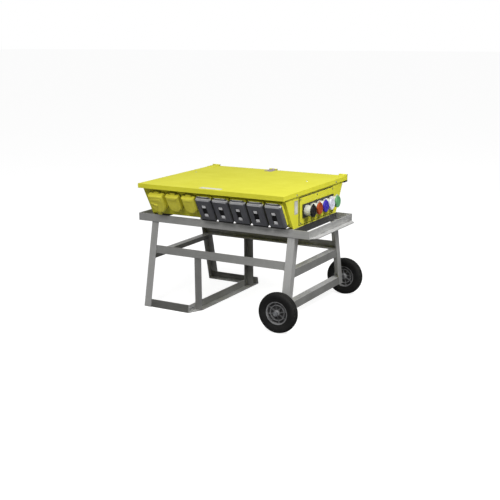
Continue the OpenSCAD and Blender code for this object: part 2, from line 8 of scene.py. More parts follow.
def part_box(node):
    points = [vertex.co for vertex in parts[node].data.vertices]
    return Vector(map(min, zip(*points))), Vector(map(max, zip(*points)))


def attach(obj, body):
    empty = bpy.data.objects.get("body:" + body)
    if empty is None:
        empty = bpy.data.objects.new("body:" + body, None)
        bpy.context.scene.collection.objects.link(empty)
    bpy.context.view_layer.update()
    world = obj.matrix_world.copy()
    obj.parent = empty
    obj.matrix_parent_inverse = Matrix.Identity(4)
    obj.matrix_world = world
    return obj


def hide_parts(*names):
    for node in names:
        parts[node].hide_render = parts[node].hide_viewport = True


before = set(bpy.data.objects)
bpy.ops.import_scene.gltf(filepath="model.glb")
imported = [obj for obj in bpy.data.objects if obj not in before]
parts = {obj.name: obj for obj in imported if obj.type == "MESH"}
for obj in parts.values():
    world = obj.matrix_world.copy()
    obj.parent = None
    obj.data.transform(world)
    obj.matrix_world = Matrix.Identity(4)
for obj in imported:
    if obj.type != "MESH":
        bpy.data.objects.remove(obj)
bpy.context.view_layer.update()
bpy.ops.object.select_all(action="DESELECT")

# ---- Tray rails ----
# The tray is a rectangle of 50 mm aluminium angle, mill finish, sawn square and
# welded at the corners. The extruding die leaves fine lines along each length,
# handling rubs the arrises bright, and dust settles in the inside corners.

MILL_GREY = (0.66, 0.66, 0.645, 1)
MILL_DULL = (0.43, 0.43, 0.418, 1)
MILL_BRIGHT = (0.86, 0.86, 0.85, 1)
GRIME = (0.09, 0.085, 0.07, 1)
ACROSS_LINES, ALONG_LINES = 260.0, 3.0


def put(tree, kind, feeds=None, **settings):
    """Adds a node; a socket among the feeds is linked, anything else is its value."""
    node = tree.nodes.new(kind)
    for key, value in settings.items():
        setattr(node, key, value)
    for key, value in (feeds or {}).items():
        if isinstance(value, bpy.types.NodeSocket):
            tree.links.new(value, node.inputs[key])
        else:
            node.inputs[key].default_value = value
    return node


def effect(name, takes, gives):
    """An empty shader group with its sockets, its input node and its output node."""
    group = bpy.data.node_groups.new(name, "ShaderNodeTree")
    for label, kind, value in takes:
        socket = group.interface.new_socket(label, in_out="INPUT", socket_type="NodeSocket" + kind)
        if value is not None:
            socket.default_value = value
    for label, kind in gives:
        group.interface.new_socket(label, in_out="OUTPUT", socket_type="NodeSocket" + kind)
    return group, group.nodes.new("NodeGroupInput"), group.nodes.new("NodeGroupOutput")


def stretch(tree, value, low, high, to_low=0.0, to_high=1.0):
    """The value spread from one range over another, held at its ends."""
    node = put(tree, "ShaderNodeMapRange", {0: value, 1: low, 2: high, 3: to_low, 4: to_high})
    return node.outputs[0]


def times(tree, a, b):
    """One mask or value times another."""
    return put(tree, "ShaderNodeMath", {0: a, 1: b}, operation="MULTIPLY").outputs[0]


def blend_colour(tree, amount, under, over):
    """One colour laid over another by an amount."""
    return put(tree, "ShaderNodeMix", {0: amount, 6: under, 7: over}, data_type="RGBA").outputs[2]


# rubbed arrises: where the rounded normal leaves the flat one, broken up by noise
rubbed_edge, given, out = effect(
    "rubbed_edge",
    [("Vector", "Vector", None), ("Width", "Float", 0.0015), ("Breakup", "Float", 40.0)],
    [("Rub", "Float"), ("Rounded", "Vector")])
rounded = put(rubbed_edge, "ShaderNodeBevel", {"Radius": given.outputs["Width"]}, samples=4)
flat = put(rubbed_edge, "ShaderNodeNewGeometry")
agree = put(rubbed_edge, "ShaderNodeVectorMath",
            {0: rounded.outputs[0], 1: flat.outputs["Normal"]}, operation="DOT_PRODUCT")
patchy = put(rubbed_edge, "ShaderNodeTexNoise",
             {"Vector": given.outputs["Vector"], "Scale": given.outputs["Breakup"], "Detail": 4.0})
edge = stretch(rubbed_edge, agree.outputs["Value"], 0.995, 0.9)
broken = stretch(rubbed_edge, patchy.outputs[0], 0.38, 0.62)
rubbed_edge.links.new(times(rubbed_edge, edge, broken), out.inputs["Rub"])
rubbed_edge.links.new(rounded.outputs[0], out.inputs["Rounded"])

# die lines: fine streaks along the stretched axis over slow dull patches
die_lines, given, out = effect(
    "die_lines", [("Vector", "Vector", None), ("Streaked", "Vector", None)],
    [("Shade", "Float"), ("Height", "Float")])
streak = put(die_lines, "ShaderNodeTexNoise",
             {"Vector": given.outputs["Streaked"], "Scale": 1.0, "Detail": 5.0, "Roughness": 0.6})
patch = put(die_lines, "ShaderNodeTexNoise",
            {"Vector": given.outputs["Vector"], "Scale": 7.0, "Detail": 5.0, "Roughness": 0.62})
fleck = put(die_lines, "ShaderNodeTexNoise",
            {"Vector": given.outputs["Vector"], "Scale": 160.0, "Detail": 2.0})
both = put(die_lines, "ShaderNodeMix",
           {0: 0.55, 2: stretch(die_lines, streak.outputs[0], 0.3, 0.7),
            3: stretch(die_lines, patch.outputs[0], 0.33, 0.67)}, data_type="FLOAT")
mixed = put(die_lines, "ShaderNodeMix",
            {0: 0.15, 2: both.outputs[0], 3: fleck.outputs[0]}, data_type="FLOAT")
die_lines.links.new(mixed.outputs[0], out.inputs["Shade"])
die_lines.links.new(streak.outputs[0], out.inputs["Height"])

# settled dust: corners that see little of the open, in uneven patches
settled_dust, given, out = effect(
    "settled_dust", [("Vector", "Vector", None), ("Reach", "Float", 0.02)], [("Dust", "Float")])
open_sky = put(settled_dust, "ShaderNodeAmbientOcclusion", {"Distance": given.outputs["Reach"]},
               samples=4)
uneven = put(settled_dust, "ShaderNodeTexNoise",
             {"Vector": given.outputs["Vector"], "Scale": 26.0, "Detail": 5.0})
settled_dust.links.new(
    times(settled_dust, stretch(settled_dust, open_sky.outputs["AO"], 0.85, 0.25),
          stretch(settled_dust, uneven.outputs[0], 0.3, 0.65)), out.inputs["Dust"])


def start_finish(name):
    """A new material, its node tree, its shader and its object coordinates."""
    made = bpy.data.materials.new(name)
    made.use_nodes = True
    tree = made.node_tree
    shader = tree.nodes["Principled BSDF"]
    place = put(tree, "ShaderNodeTexCoord").outputs["Object"]
    return made, tree, shader, place


def use_group(tree, group, **feeds):
    """Places an effect in a material with its own values."""
    node = tree.nodes.new("ShaderNodeGroup")
    node.node_tree = group
    for key, value in feeds.items():
        if isinstance(value, bpy.types.NodeSocket):
            tree.links.new(value, node.inputs[key])
        else:
            node.inputs[key].default_value = value
    return node


def mill_aluminium(name, along, tilt=0.0, grey=MILL_GREY, dull=MILL_DULL):
    """Mill-finish aluminium with its die lines along one axis, tilted about X for a leg.

    Faces that look up are painted brighter: a painted highlight for the light from above.
    """
    made, tree, shader, place = start_finish(name)
    scale = [ACROSS_LINES] * 3
    scale["xyz".index(along)] = ALONG_LINES
    lined = put(tree, "ShaderNodeMapping", {"Vector": place, "Rotation": (tilt, 0, 0)})
    lined = put(tree, "ShaderNodeMapping", {"Vector": lined.outputs[0], "Scale": scale})
    grain = use_group(tree, die_lines, Vector=place, Streaked=lined.outputs[0])
    rub = use_group(tree, rubbed_edge, Vector=place, Width=0.0012, Breakup=55.0)
    dust = use_group(tree, settled_dust, Vector=place, Reach=0.03)
    colour = blend_colour(tree, grain.outputs["Shade"], dull, grey)
    colour = blend_colour(tree, times(tree, rub.outputs["Rub"], 0.6), colour, MILL_BRIGHT)
    # Painted highlight: faces that look up are blended towards the bright metal.
    facing = put(tree, "ShaderNodeSeparateXYZ",
                 {0: put(tree, "ShaderNodeNewGeometry").outputs["Normal"]}).outputs["Z"]
    painted_top_light = times(tree, stretch(tree, facing, 0.6, 0.95),
                    stretch(tree, grain.outputs["Shade"], 0.2, 0.7, 0.45, 0.95))
    colour = blend_colour(tree, painted_top_light, colour, MILL_BRIGHT)
    colour = blend_colour(tree, times(tree, dust.outputs["Dust"], 0.55), colour, GRIME)
    tree.links.new(colour, shader.inputs["Base Color"])
    tree.links.new(stretch(tree, grain.outputs["Shade"], 0.2, 0.8, 0.56, 0.4),
                   shader.inputs["Roughness"])
    relief = put(tree, "ShaderNodeBump",
                 {"Strength": 0.2, "Distance": 0.0003, "Height": grain.outputs["Height"],
                  "Normal": rub.outputs["Rounded"]})
    tree.links.new(relief.outputs[0], shader.inputs["Normal"])
    shader.inputs["Metallic"].default_value = 0.7
    return made


def give_finish(finish, *names):
    """Puts one finish on CAD nodes, by name."""
    for name in names:
        mesh = parts[name].data
        mesh.materials.clear()
        mesh.materials.append(finish)


aluminium_long = mill_aluminium("aluminium_long", "x")
aluminium_cross = mill_aluminium("aluminium_cross", "y")
give_finish(aluminium_long, "tray_front_rail", "tray_back_rail")
give_finish(aluminium_cross, "tray_left_rail", "tray_right_rail")

# ---- Bearers ----
# Two dark angles across the tray, let in below its top edge, that the box sits on.
# They are the same section with a much darker colour, painted shade for the shadow of the box
# above them.

bearer_shaded_metal = mill_aluminium("bearer_shaded_metal", "y", grey=(0.13, 0.13, 0.13, 1),
                              dull=(0.06, 0.06, 0.062, 1))
give_finish(bearer_shaded_metal, "tray_bearers")

# ---- Legs, rails and feet ----
# Four splayed legs of the same angle, with rails between them at mid height, a foot
# frame at the left end and two upright inner legs. All are butt or fillet welded. The
# inner legs and the rails below the tray get darker copies of the metal, painted shade
# for where they lie in shadow.

LEG_TOP_INSET = 0.009
tray_low, tray_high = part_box("tray_front_rail")[0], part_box("tray_back_rail")[1]
leg_low, leg_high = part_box("leg_front_left")
lean_run = abs(leg_low.y) - abs(tray_low.y) + LEG_TOP_INSET
lean = math.atan2(lean_run, leg_high.z - leg_low.z)
aluminium_front_leg = mill_aluminium("aluminium_front_leg", "z", tilt=lean)
aluminium_back_leg = mill_aluminium("aluminium_back_leg", "z", tilt=-lean)
give_finish(aluminium_front_leg, "leg_front_left", "leg_front_right")
give_finish(aluminium_back_leg, "leg_back_left", "leg_back_right")
# Darker copies of the same aluminium below are painted shade, set for each group of rails.
inner_shaded_metal = mill_aluminium("inner_leg_shaded_metal", "z", grey=(0.4, 0.4, 0.39, 1),
                             dull=(0.26, 0.26, 0.25, 1))
side_shaded_metal = mill_aluminium("side_rail_shaded_metal", "x", grey=(0.47, 0.47, 0.455, 1),
                            dull=(0.27, 0.27, 0.26, 1))
foot_shaded_metal = mill_aluminium("foot_rail_shaded_metal", "x", grey=(0.25, 0.25, 0.235, 1),
                            dull=(0.12, 0.12, 0.112, 1))
cross_shaded_metal = mill_aluminium("cross_rail_shaded_metal", "y", grey=(0.44, 0.44, 0.425, 1),
                             dull=(0.25, 0.25, 0.24, 1))
give_finish(inner_shaded_metal, "inner_legs")
give_finish(side_shaded_metal, "mid_side_rails")
give_finish(foot_shaded_metal, "foot_side_rails")
give_finish(cross_shaded_metal, "mid_cross_rails", "axle_beam")
give_finish(aluminium_cross, "foot_cross_rail", "axle_blocks")

# ---- Weld beads ----
# Fillet welds close every joint of the frame. A bead is a row of overlapping puddles,
# so one is drawn out in short swelling steps and laid again along each seam.


def open_piece(name):
    """Names the piece just added and opens it in edit mode."""
    piece = bpy.context.object
    piece.name = piece.data.name = name
    bpy.ops.object.mode_set(mode="EDIT")
    return piece


def pick(piece, kind, test):
    """Selects only the faces, edges or vertices that pass the test."""
    bpy.ops.mesh.select_mode(type=kind)
    bpy.ops.mesh.select_all(action="DESELECT")
    shape = bmesh.from_edit_mesh(piece.data)
    for item in {"VERT": shape.verts, "EDGE": shape.edges, "FACE": shape.faces}[kind]:
        if test(item):
            item.select_set(True)
    shape.select_flush_mode()
    bmesh.update_edit_mesh(piece.data)


def middle(item):
    """The middle of a face, an edge or a vertex."""
    if isinstance(item, bmesh.types.BMFace):
        return item.calc_center_median()
    if isinstance(item, bmesh.types.BMEdge):
        return (item.verts[0].co + item.verts[1].co) / 2
    return item.co


def shut_piece(piece, finish, smooth=40):
    """Leaves edit mode, shades the piece and gives it its finish."""
    bpy.ops.object.mode_set(mode="OBJECT")
    if smooth:
        bpy.ops.object.shade_smooth_by_angle(angle=math.radians(smooth))
    piece.data.materials.clear()
    piece.data.materials.append(finish)
    bpy.ops.object.select_all(action="DESELECT")


def copies(piece, name, places):
    """Copies the piece to each place, each with its own mesh, joined as one piece."""
    made = []
    for place in places:
        twin = piece.copy()
        twin.data = piece.data.copy()
        twin.data.transform(place)
        bpy.context.scene.collection.objects.link(twin)
        made.append(twin)
    bpy.data.objects.remove(piece)
    bpy.ops.object.select_all(action="DESELECT")
    for twin in made:
        twin.select_set(True)
    bpy.context.view_layer.objects.active = made[0]
    if len(made) > 1:
        bpy.ops.object.join()
    joined = bpy.context.object
    joined.name = joined.data.name = name
    bpy.ops.object.select_all(action="DESELECT")
    return joined


weld_metal = mill_aluminium("weld_metal", "z", grey=(0.5, 0.5, 0.49, 1),
                            dull=(0.2, 0.2, 0.195, 1))
BEAD_TIP_R, PUDDLES = 0.0012, 14
FIRST_SWELL, SWELL, SHRINK, LAST_SHRINK = 2.6, 1.55, 0.645, 0.4
bpy.ops.mesh.primitive_circle_add(vertices=10, radius=BEAD_TIP_R, fill_type="NGON")
bead = open_piece("weld_bead")
bpy.ops.mesh.select_mode(type="FACE")
for puddle in range(PUDDLES):
    swell = FIRST_SWELL if puddle == 0 else SWELL
    shrink = LAST_SHRINK if puddle == PUDDLES - 1 else SHRINK
    for grow, share in ((swell, 0.4), (shrink, 0.6)):
        bpy.ops.mesh.extrude_region_move(
            TRANSFORM_OT_translate={"value": (0, 0, share / PUDDLES)})
        bpy.ops.transform.resize(value=(grow, grow, 1))
shut_piece(bead, weld_metal, 60)


def seam(start, end):
    """Where a bead of unit length lies between two points."""
    run = Vector(end) - Vector(start)
    turn = run.to_track_quat("Z", "Y").to_matrix().to_4x4()
    return Matrix.Translation(start) @ turn @ Matrix.Diagonal((1, 1, run.length, 1))


def leg_face(height):
    """How far out the face of a leg is at a height."""
    return leg_foot_y - math.tan(lean) * height


def leg_seam(x, side, low, high, inset, skip_low, skip_high):
    """A seam that leans with a leg, set in from its face and stopped short at each end."""
    return seam((x, side * (leg_face(low) - inset), low + skip_low),
                (x, side * (leg_face(high) - inset), high - skip_high))


ANGLE_THICK, CROSS_INSET = 0.005, 0.010
angle_w = tray_high.z - tray_low.z
leg_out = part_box("leg_front_right")[1].x
leg_foot_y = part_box("leg_back_left")[1].y
mid_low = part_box("mid_side_rails")[0].z
cross_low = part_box("mid_cross_rails")[0].z
beam_low, beam_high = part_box("axle_beam")
foot_cross_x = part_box("foot_cross_rail")[0].x
upright_low, upright_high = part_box("inner_legs")
under_rail, under_tray = mid_low - 0.001, tray_low.z - 0.001
seams = []
for side in (-1, 1):
    upright_y = side * (upright_high.y - 0.001)
    seams.append(seam((upright_low.x, upright_y, under_rail),
                      (upright_high.x, upright_y, under_rail)))
    seams.append(leg_seam(foot_cross_x, side, 0, angle_w, 0.006, 0.004, 0.003))
    for end in (-1, 1):
        corner_x = end * (tray_high.x - ANGLE_THICK)
        corner_y = side * (tray_high.y - ANGLE_THICK)
        seams.append(seam((corner_x, corner_y, tray_low.z + 0.006),
                          (corner_x, corner_y, tray_high.z - 0.003)))
        leg_in_x, leg_top_y = end * (leg_out - angle_w), side * (leg_face(tray_low.z) - 0.002)
        seams.append(seam((leg_in_x, leg_top_y, under_tray),
                          (end * leg_out, leg_top_y, under_tray)))
        seams.append(leg_seam(leg_in_x, side, mid_low, mid_low + angle_w, ANGLE_THICK,
                              0.002, 0.002))
        seams.append(leg_seam(end * (leg_out - CROSS_INSET), side, cross_low, mid_low,
                              0.007, 0.002, 0.006))
        low_z, high_z = (beam_low.z, beam_high.z) if end > 0 else (0.0, angle_w)
        seams.append(leg_seam(end * (leg_out - CROSS_INSET) if end > 0 else leg_in_x, side,
                              low_z, high_z, 0.0065, 0.002, 0.006))
beads = copies(bead, "weld_beads", seams)
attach(beads, "cart")

# ---- Bolts, axle, spacers and collars ----
# Bright zinc-plated steel: hexagon bolts at the foot, and a turned axle with its
# spacer tubes and set collars. The plating is cloudy, and worn where it is turned.


def zinc_plate(name, light=(0.55, 0.56, 0.58, 1), deep=(0.33, 0.34, 0.36, 1), rough=0.32):
    """Plated or bare bright metal: cloudy, finely pitted, with dust in its corners."""
    made, tree, shader, place = start_finish(name)
    cloud = put(tree, "ShaderNodeTexNoise", {"Vector": place, "Scale": 90.0, "Detail": 6.0})
    pits = put(tree, "ShaderNodeTexVoronoi", {"Vector": place, "Scale": 420.0})
    rub = use_group(tree, rubbed_edge, Vector=place, Width=0.0006, Breakup=180.0)
    dust = use_group(tree, settled_dust, Vector=place, Reach=0.008)
    shade = stretch(tree, cloud.outputs[0], 0.35, 0.65)
    colour = blend_colour(tree, shade, deep, light)
    colour = blend_colour(tree, times(tree, dust.outputs["Dust"], 0.6), colour, GRIME)
    tree.links.new(colour, shader.inputs["Base Color"])
    tree.links.new(stretch(tree, cloud.outputs[0], 0.3, 0.7, rough + 0.14, rough - 0.06),
                   shader.inputs["Roughness"])
    relief = put(tree, "ShaderNodeBump",
                 {"Strength": 0.15, "Distance": 0.0002, "Height": pits.outputs["Distance"],
                  "Normal": rub.outputs["Rounded"]})
    tree.links.new(relief.outputs[0], shader.inputs["Normal"])
    shader.inputs["Metallic"].default_value = 1.0
    return made


zinc = zinc_plate("zinc_plated_steel")
give_finish(zinc, "foot_bolts", "axle", "axle_spacers", "axle_collars")

# ---- Tyres and rims ----
# Ten-inch barrow wheels: a grooved rubber tyre on a dark moulded rim with eight ribs,
# a round hub and plain bores that run on the axle.


def moulded(name, colour, deep, rough=0.5, pebble=700.0, relief_depth=0.0002, dirty=0.5,
            rub_colour=None, width=0.0008, gloss=0.5):
    """Moulded plastic or rubber: fine texture from the tool, scuffed edges and dust."""
    made, tree, shader, place = start_finish(name)
    skin = put(tree, "ShaderNodeTexNoise", {"Vector": place, "Scale": pebble, "Detail": 3.0})
    tone = put(tree, "ShaderNodeTexNoise", {"Vector": place, "Scale": 14.0, "Detail": 6.0,
                                            "Roughness": 0.65})
    rub = use_group(tree, rubbed_edge, Vector=place, Width=width, Breakup=90.0)
    dust = use_group(tree, settled_dust, Vector=place, Reach=0.012)
    shade = stretch(tree, tone.outputs[0], 0.35, 0.66)
    base = blend_colour(tree, shade, deep, colour)
    if rub_colour:
        base = blend_colour(tree, times(tree, rub.outputs["Rub"], 0.55), base, rub_colour)
    base = blend_colour(tree, times(tree, dust.outputs["Dust"], dirty), base, GRIME)
    tree.links.new(base, shader.inputs["Base Color"])
    tree.links.new(stretch(tree, tone.outputs[0], 0.3, 0.7, rough + 0.1, rough - 0.08),
                   shader.inputs["Roughness"])
    relief = put(tree, "ShaderNodeBump",
                 {"Strength": 0.35, "Distance": relief_depth, "Height": skin.outputs[0],
                  "Normal": rub.outputs["Rounded"]})
    tree.links.new(relief.outputs[0], shader.inputs["Normal"])
    shader.inputs["Specular IOR Level"].default_value = gloss
    return made


tyre_rubber = moulded("tyre_rubber", (0.011, 0.011, 0.0105, 1), (0.005, 0.005, 0.005, 1),
                      rough=0.75, pebble=520.0, rub_colour=(0.045, 0.043, 0.04, 1), width=0.002,
                      gloss=0.25)
rim_plastic = moulded("rim_plastic", (0.24, 0.24, 0.245, 1), (0.15, 0.15, 0.154, 1),
                      rub_colour=(0.34, 0.34, 0.35, 1), width=0.0015)
# The ribs and the web between them are darker copies of the rim plastic: painted shade for the
# dark dish of the wheel.
rib_shaded_plastic = moulded("rim_rib_shaded_plastic", (0.11, 0.11, 0.113, 1), (0.07, 0.07, 0.072, 1),
                      rub_colour=(0.2, 0.2, 0.205, 1), width=0.0015)
web_shaded_plastic = moulded("rim_web_shaded_plastic", (0.035, 0.035, 0.037, 1), (0.02, 0.02, 0.021, 1),
                      rough=0.6)


def turned(name, outline, steps):
    """A closed outline of (radius, place along Y), drawn point by point and spun about Y."""
    bpy.ops.mesh.primitive_plane_add(size=0.001)
    piece = open_piece(name)
    bpy.ops.mesh.select_mode(type="VERT")
    bpy.ops.mesh.merge(type="CENTER")
    bpy.ops.transform.translate(value=(outline[0][0], outline[0][1], 0))
    for (r0, y0), (r1, y1) in zip(outline, outline[1:]):
        bpy.ops.mesh.extrude_region_move(TRANSFORM_OT_translate={"value": (r1 - r0, y1 - y0, 0)})
    first, last = Vector((*outline[0], 0)), Vector((*outline[-1], 0))
    pick(piece, "VERT", lambda v: (v.co - first).length < 1e-6 or (v.co - last).length < 1e-6)
    bpy.ops.mesh.edge_face_add()
    bpy.ops.mesh.select_all(action="SELECT")
    bpy.ops.mesh.spin(steps=steps, angle=math.tau, center=(0, 0, 0), axis=(0, 1, 0))
    bpy.ops.mesh.select_all(action="SELECT")
    bpy.ops.mesh.remove_doubles(threshold=1e-5)
    bpy.ops.mesh.normals_make_consistent(inside=False)
    return piece


def both_ways(half):
    """An outline given from its outer end to the middle, mirrored to the other side."""
    return half + [(r, -y) for r, y in reversed(half)]


tyre_low, tyre_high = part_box("wheel_front_tyre")
tyre_r = (tyre_high.x - tyre_low.x) / 2
tyre_half = (tyre_high.y - tyre_low.y) / 2
rim_low, rim_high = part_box("wheel_front_rim")
rim_middle = (rim_low.y + rim_high.y) / 2
BEAD_SHARE, RING_SHARE = 0.575, 0.65
bead_r = tyre_r * BEAD_SHARE
TYRE_OUTLINE = both_ways([
    (bead_r, -0.74 * tyre_half), (bead_r + 0.0025, -0.82 * tyre_half),
    (bead_r + 0.006, -0.81 * tyre_half), (bead_r + 0.009, -0.865 * tyre_half),
    (bead_r + 0.0125, -0.91 * tyre_half), (bead_r + 0.0145, -0.895 * tyre_half),
    (bead_r + 0.0165, -0.93 * tyre_half), (tyre_r * 0.76, -0.97 * tyre_half),
    (tyre_r * 0.81, -0.995 * tyre_half), (tyre_r * 0.86, -0.985 * tyre_half),
    (tyre_r * 0.905, -0.95 * tyre_half), (tyre_r * 0.94, -0.88 * tyre_half),
    (tyre_r * 0.962, -0.79 * tyre_half), (tyre_r * 0.975, -0.62 * tyre_half),
    (tyre_r * 0.979, -0.5 * tyre_half), (tyre_r * 0.955, -0.485 * tyre_half),
    (tyre_r * 0.955, -0.42 * tyre_half), (tyre_r * 0.986, -0.405 * tyre_half),
    (tyre_r * 0.995, -0.2 * tyre_half), (tyre_r * 0.968, -0.185 * tyre_half),
    (tyre_r * 0.968, -0.125 * tyre_half), (tyre_r, -0.11 * tyre_half)])
TREAD_STEPS, TREAD_PITCH, TREAD_CUT = 96, 3, 0.0025
tyre = turned("tyre", TYRE_OUTLINE, TREAD_STEPS)


def in_cut(face):
    """Every third face round each shoulder is a cross cut in the tread."""
    spot = middle(face)
    turn = math.atan2(spot.z, spot.x) / math.tau * TREAD_STEPS
    on_shoulder = 0.5 * tyre_half < abs(spot.y) < 0.83 * tyre_half
    on_tread = math.hypot(spot.x, spot.z) > 0.95 * tyre_r
    return on_shoulder and on_tread and math.floor(turn) % TREAD_PITCH == 0


pick(tyre, "FACE", in_cut)
bpy.ops.mesh.extrude_region_shrink_fatten(TRANSFORM_OT_shrink_fatten={"value": -TREAD_CUT})
shut_piece(tyre, tyre_rubber, 32)

rib_ring = RING_SHARE * bead_r
hub_r = (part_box("axle")[1].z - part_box("axle")[0].z) / 2
RIM_TURNINGS = [
    both_ways([(bead_r - 0.0075, -0.58 * tyre_half), (bead_r - 0.007, -0.66 * tyre_half),
               (bead_r - 0.0052, -0.715 * tyre_half), (bead_r - 0.0035, -0.735 * tyre_half),
               (bead_r - 0.0012, -0.73 * tyre_half), (bead_r, -0.7 * tyre_half)]),
    both_ways([(rib_ring - 0.0026, -0.38 * tyre_half), (rib_ring - 0.0018, -0.43 * tyre_half),
               (rib_ring, -0.45 * tyre_half), (rib_ring + 0.0018, -0.43 * tyre_half),
               (rib_ring + 0.0026, -0.38 * tyre_half)]),
    both_ways([(hub_r + 0.0001, -0.9 * tyre_half), (hub_r + 0.004, -0.9 * tyre_half),
               (hub_r + 0.0045, rim_low.y - rim_middle),
               (hub_r + 0.0085, rim_low.y - rim_middle),
               (hub_r + 0.0097, -0.92 * tyre_half), (hub_r + 0.012, -0.58 * tyre_half)]),
    both_ways([(hub_r + 0.0085, -0.003), (bead_r - 0.005, -0.003)])]
rim_turned = []
for ring in RIM_TURNINGS:
    rim_turned.append(turned("rim", ring, 72))
    shut_piece(rim_turned[-1], web_shaded_plastic if ring is RIM_TURNINGS[-1] else rim_plastic, 35)

RIB_COUNT, RIB_START, RIB_THICK, RIB_WAIST = 8, 12, 0.0074, 0.8
bpy.ops.mesh.primitive_cube_add(size=1)
rib = open_piece("rim_rib")
reach_in, reach_out = hub_r + 0.009, bead_r - 0.006
bpy.ops.transform.resize(value=(reach_out - reach_in, 1.06 * tyre_half, RIB_THICK))
bpy.ops.transform.translate(value=((reach_in + reach_out) / 2, 0, 0))
bpy.ops.mesh.subdivide(number_cuts=1)
pick(rib, "VERT", lambda v: reach_in + 0.01 < v.co.x < reach_out - 0.01 and abs(v.co.y) > 0.01)
bpy.ops.transform.resize(value=(1, RIB_WAIST, RIB_WAIST), center_override=(0, 0, 0))
pick(rib, "EDGE", lambda e: abs(e.verts[0].co.x - e.verts[1].co.x) > 0.01
     and abs(middle(e).y) > 0.012 and abs(middle(e).z) > 0.002)
bpy.ops.mesh.bevel(offset=0.0012, segments=2)
shut_piece(rib, rib_shaded_plastic, 35)
ribs = copies(rib, "rim_ribs", [
    Matrix.Rotation(-math.radians(360 / RIB_COUNT * k + RIB_START), 4, "Y")
    for k in range(RIB_COUNT)])
for piece in rim_turned + [ribs]:
    piece.select_set(True)
bpy.context.view_layer.objects.active = ribs
bpy.ops.object.join()
rim = bpy.context.object
bpy.ops.object.select_all(action="DESELECT")

for side in ("front", "back"):
    low_corner, high_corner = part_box("wheel_" + side + "_tyre")
    hub_place = Matrix.Translation((low_corner + high_corner) / 2)
    for piece, kind, slot in ((tyre, "tyre", "tyre"), (rim, "rim", "rim_moulding")):
        twin = piece.copy()
        twin.data = piece.data.copy()
        twin.data.transform(hub_place)
        twin.name = twin.data.name = side + "_" + kind
        bpy.context.scene.collection.objects.link(twin)
        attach(twin, "wheel_" + side)
        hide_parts("wheel_" + side + "_" + kind)
bpy.data.objects.remove(tyre)
bpy.data.objects.remove(rim)

# ---- Box, lid and inlet panel ----
# Two-millimetre steel, folded, seam welded and powder coated bright yellow. The coat
# has a faint orange peel, is thin at its folds, and shows hair scratches from use.

paint_skin, given, out = effect(
    "paint_skin", [("Vector", "Vector", None), ("Fine", "Float", 380.0)],
    [("Height", "Float"), ("Tone", "Float"), ("Scratch", "Float")])
peel = put(paint_skin, "ShaderNodeTexNoise",
           {"Vector": given.outputs["Vector"], "Scale": given.outputs["Fine"], "Detail": 1.0})
slow = put(paint_skin, "ShaderNodeTexNoise",
           {"Vector": given.outputs["Vector"], "Scale": 4.5, "Detail": 6.0, "Roughness": 0.6})
skewed = put(paint_skin, "ShaderNodeMapping",
             {"Vector": given.outputs["Vector"], "Rotation": (0.4, 0.2, 0.7),
              "Scale": (6.0, 300.0, 90.0)})
hair = put(paint_skin, "ShaderNodeTexNoise",
           {"Vector": skewed.outputs[0], "Scale": 1.0, "Detail": 2.0})
where = put(paint_skin, "ShaderNodeTexNoise",
            {"Vector": given.outputs["Vector"], "Scale": 3.0, "Detail": 2.0})
paint_skin.links.new(peel.outputs[0], out.inputs["Height"])
paint_skin.links.new(stretch(paint_skin, slow.outputs[0], 0.32, 0.68), out.inputs["Tone"])
paint_skin.links.new(
    times(paint_skin, stretch(paint_skin, hair.outputs[0], 0.68, 0.74),
          stretch(paint_skin, where.outputs[0], 0.48, 0.62)), out.inputs["Scratch"])


COAT_BRIGHT, COAT_DEEP = (0.7, 0.68, 0.04, 1), (0.62, 0.6, 0.034, 1)
COAT_WORN = (0.4, 0.37, 0.06, 1)


def powder_coat(name):
    """Yellow powder coat: uneven tone, hair scratches, thin edges, dust and orange peel."""
    made, tree, shader, place = start_finish(name)
    skin = use_group(tree, paint_skin, Vector=place, Fine=420.0)
    rub = use_group(tree, rubbed_edge, Vector=place, Width=0.0014, Breakup=30.0)
    dust = use_group(tree, settled_dust, Vector=place, Reach=0.02)
    colour = blend_colour(tree, skin.outputs["Tone"], COAT_DEEP, COAT_BRIGHT)
    colour = blend_colour(tree, times(tree, skin.outputs["Scratch"], 0.4), colour, COAT_WORN)
    colour = blend_colour(tree, times(tree, rub.outputs["Rub"], 0.35), colour, COAT_WORN)
    colour = blend_colour(tree, times(tree, dust.outputs["Dust"], 0.5), colour, GRIME)
    tree.links.new(colour, shader.inputs["Base Color"])
    tree.links.new(stretch(tree, skin.outputs["Tone"], 0.0, 1.0, 0.54, 0.41),
                   shader.inputs["Roughness"])
    relief = put(tree, "ShaderNodeBump",
                 {"Strength": 0.12, "Distance": 0.0002, "Height": skin.outputs["Height"],
                  "Normal": rub.outputs["Rounded"]})
    tree.links.new(relief.outputs[0], shader.inputs["Normal"])
    shader.inputs["Specular IOR Level"].default_value = 0.3
    return made


yellow_coat = powder_coat("yellow_powder_coat")
give_finish(yellow_coat, "box_shell", "end_plate_left", "end_plate_right", "lid", "inlet_panel")

# ---- Bus bars ----
# Five flat copper bars stand on edge inside the box, drilled for their lugs. They sit
# in slots across three red insulators on its floor.

copper = zinc_plate("bus_copper", light=(0.62, 0.3, 0.17, 1), deep=(0.38, 0.16, 0.08, 1),
                    rough=0.36)
insulator = moulded("red_insulator", (0.42, 0.03, 0.02, 1), (0.3, 0.02, 0.015, 1), rough=0.35)
give_finish(copper, "bus_bars")
give_finish(insulator, "bus_supports")

# ---- Gaskets ----
# A strip of black sponge rubber stuck round the rim under the lid, and a sheet of the
# same rubber, cut to shape, clamped behind the inlet panel. The black of that sheet
# where it shows round the panel's edge is painted shade, for the shadow in the gap
# there. The same rubber makes the shade strips under the grey covers.

